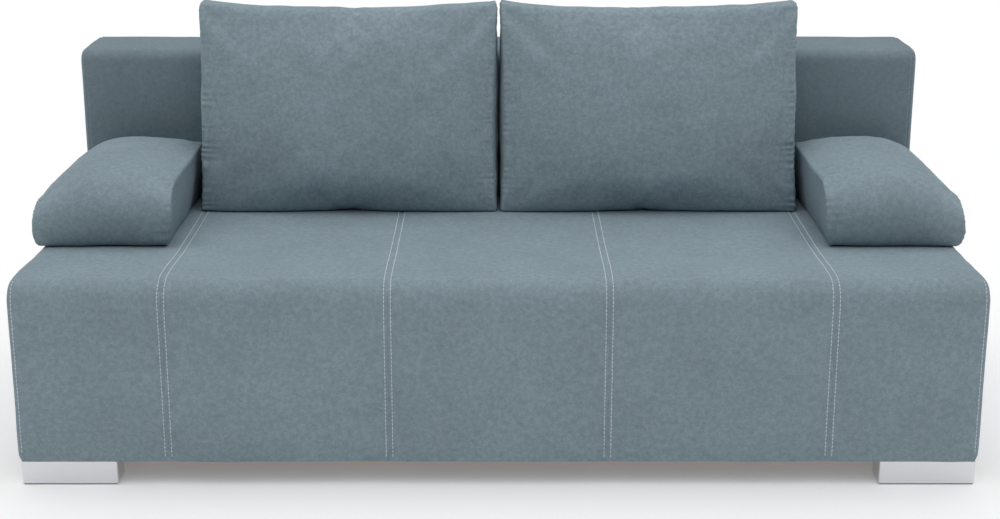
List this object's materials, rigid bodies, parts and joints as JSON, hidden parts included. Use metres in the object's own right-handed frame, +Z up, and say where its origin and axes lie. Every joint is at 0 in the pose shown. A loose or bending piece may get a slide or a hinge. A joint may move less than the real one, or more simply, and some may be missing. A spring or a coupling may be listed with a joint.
{
  "type": "sofa bed",
  "caption": "Armless three-seat sofa bed: a deep padded seat block that pulls out on rollers, a backrest that folds level behind it, and loose back and arm cushions.",
  "frame": {"origin": "middle of the footprint, on the floor", "axes": "+X to the right of someone who faces the sofa from the front, +Y towards the backrest, +Z up; the seat's front faces -Y"},
  "size_m": [2.036, 0.96, 0.912],
  "materials": {
    "timber": "matte",
    "hardboard": "matte",
    "upholstery": "matte",
    "cushion_cloth": "matte",
    "lining": "matte",
    "felt": "matte",
    "foam": "matte",
    "filling": "matte",
    "webbing": "matte",
    "black_plastic": "matte",
    "white_nylon": "satin",
    "rubber": "matte",
    "zinc_steel": "satin",
    "black_steel": "satin",
    "foot_metal": "satin",
    "zip_plastic": "satin",
    "zip_metal": "satin"
  },
  "bodies": {
    "base": {"base_side_boards": "timber", "base_front_board": "timber", "base_rear_board": "timber", "base_stretchers": "timber", "base_corner_blocks": "timber", "base_dust_panel": "hardboard", "base_covers": "upholstery", "base_feet": "black_plastic", "slide_rails": "zinc_steel", "rail_screws": "zinc_steel", "rail_stops": "rubber"},
    "seat": {"seat_side_rails": "timber", "seat_front_rail": "timber", "seat_rear_rail": "timber", "seat_centre_rail": "timber", "seat_springs": "zinc_steel", "spring_clips": "zinc_steel", "seat_felt": "felt", "seat_foam": "foam", "seat_cover": "upholstery", "seat_dust_cloth": "lining", "apron_cover": "upholstery", "apron_board": "timber", "apron_foam": "foam", "apron_bottom_rail": "timber", "front_foot_left": "foot_metal", "front_foot_right": "foot_metal", "foot_glides": "black_plastic", "foot_screws": "zinc_steel", "carriage_arms": "black_steel", "carriage_bolts": "zinc_steel", "roller_axles": "zinc_steel", "pivot_bolts": "zinc_steel", "pivot_nuts": "zinc_steel"},
    "backrest": {"backrest_side_rails": "timber", "backrest_top_rail": "timber", "backrest_bottom_rail": "timber", "backrest_centre_post": "timber", "backrest_webbing": "webbing", "backrest_rear_board": "hardboard", "backrest_foam": "foam", "backrest_cover": "upholstery", "hinge_plates": "black_steel", "hinge_screws": "zinc_steel", "rest_glides": "black_plastic", "glide_screws": "zinc_steel"},
    "front_rollers": {"front_rollers": "white_nylon"},
    "rear_rollers": {"rear_rollers": "white_nylon"},
    "back_cushion_left": {"back_cushion_cover_left": "cushion_cloth", "back_cushion_filling_left": "filling", "back_cushion_zip_left": "zip_plastic"},
    "zip_slider_left": {"zip_slider_left": "zip_metal"},
    "arm_cushion_left": {"arm_cushion_cover_left": "cushion_cloth", "arm_cushion_filling_left": "filling"},
    "back_cushion_right": {"back_cushion_cover_right": "cushion_cloth", "back_cushion_filling_right": "filling", "back_cushion_zip_right": "zip_plastic"},
    "zip_slider_right": {"zip_slider_right": "zip_metal"},
    "arm_cushion_right": {"arm_cushion_cover_right": "cushion_cloth", "arm_cushion_filling_right": "filling"}
  },
  "joints": [
    {"name": "seat_pull_out", "type": "slide", "parent": "base", "child": "seat", "axis": [0, -1, 0], "range_m": [0, 0.345]},
    {"name": "backrest_recline", "type": "hinge", "parent": "seat", "child": "backrest", "pos_m": [0, 0.365, 0.32], "axis": [-1, 0, 0], "range_deg": [0, 90]},
    {"name": "front_roller_spin", "type": "hinge", "parent": "seat", "child": "front_rollers", "pos_m": [0, 0.005, 0.126], "axis": [1, 0, 0], "range_deg": [0, 1460]},
    {"name": "rear_roller_spin", "type": "hinge", "parent": "seat", "child": "rear_rollers", "pos_m": [0, 0.195, 0.126], "axis": [1, 0, 0], "range_deg": [0, 1460]},
    {"name": "back_cushion_lift_left", "type": "slide", "parent": "seat", "child": "back_cushion_left", "axis": [0, 0, 1], "range_m": [0, 0.5]},
    {"name": "arm_cushion_lift_left", "type": "slide", "parent": "seat", "child": "arm_cushion_left", "axis": [0, 0, 1], "range_m": [0, 0.3]},
    {"name": "zip_open_left", "type": "slide", "parent": "back_cushion_left", "child": "zip_slider_left", "axis": [1, 0, 0], "range_m": [0, 0.46]},
    {"name": "back_cushion_lift_right", "type": "slide", "parent": "seat", "child": "back_cushion_right", "axis": [0, 0, 1], "range_m": [0, 0.5]},
    {"name": "arm_cushion_lift_right", "type": "slide", "parent": "seat", "child": "arm_cushion_right", "axis": [0, 0, 1], "range_m": [0, 0.3]},
    {"name": "zip_open_right", "type": "slide", "parent": "back_cushion_right", "child": "zip_slider_right", "axis": [-1, 0, 0], "range_m": [0, 0.46]}
  ],
  "couplings": [
    {"joint": "front_roller_spin", "follows": "seat_pull_out", "rad_per_m": 73.529},
    {"joint": "rear_roller_spin", "follows": "seat_pull_out", "rad_per_m": 73.529}
  ]
}
